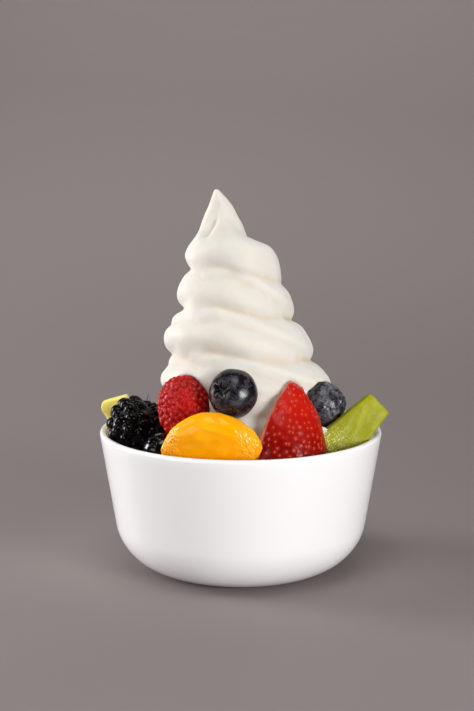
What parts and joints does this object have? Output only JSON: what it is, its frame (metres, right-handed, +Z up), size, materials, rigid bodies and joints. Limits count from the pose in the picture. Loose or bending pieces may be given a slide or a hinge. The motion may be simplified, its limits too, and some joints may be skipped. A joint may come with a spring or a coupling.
{
  "type": "frozen yogurt cup",
  "caption": "White bowl of soft frozen yogurt piped into a tall hooked swirl, ringed with bramble, raspberry, blueberry, mandarin, strawberry and kiwi pieces.",
  "frame": {"origin": "centre of the bowl's foot, on the surface that the bowl stands on", "axes": "+Z up along the bowl's axis, -Y towards the front, +X to the front's right"},
  "size_m": [0.1053, 0.104, 0.14],
  "materials": {
    "porcelain": "gloss",
    "yogurt": "satin",
    "bramble_skin": "gloss",
    "raspberry_skin": "satin",
    "blueberry_skin": "satin",
    "mandarin_flesh": "gloss",
    "strawberry_skin": "gloss",
    "kiwi_flesh": "satin"
  },
  "bodies": {
    "root": {"cup": "porcelain", "yogurt": "yogurt", "bramble": "bramble_skin", "raspberry_front": "raspberry_skin", "blueberry_front": "blueberry_skin", "blueberry_left": "blueberry_skin", "mandarin_front": "mandarin_flesh", "strawberry_front": "strawberry_skin", "blueberry_right": "blueberry_skin", "kiwi_right": "kiwi_flesh", "kiwi_left": "kiwi_flesh", "strawberry_back": "strawberry_skin", "blueberry_back": "blueberry_skin", "raspberry_back": "raspberry_skin", "mandarin_back": "mandarin_flesh"}
  },
  "joints": []
}
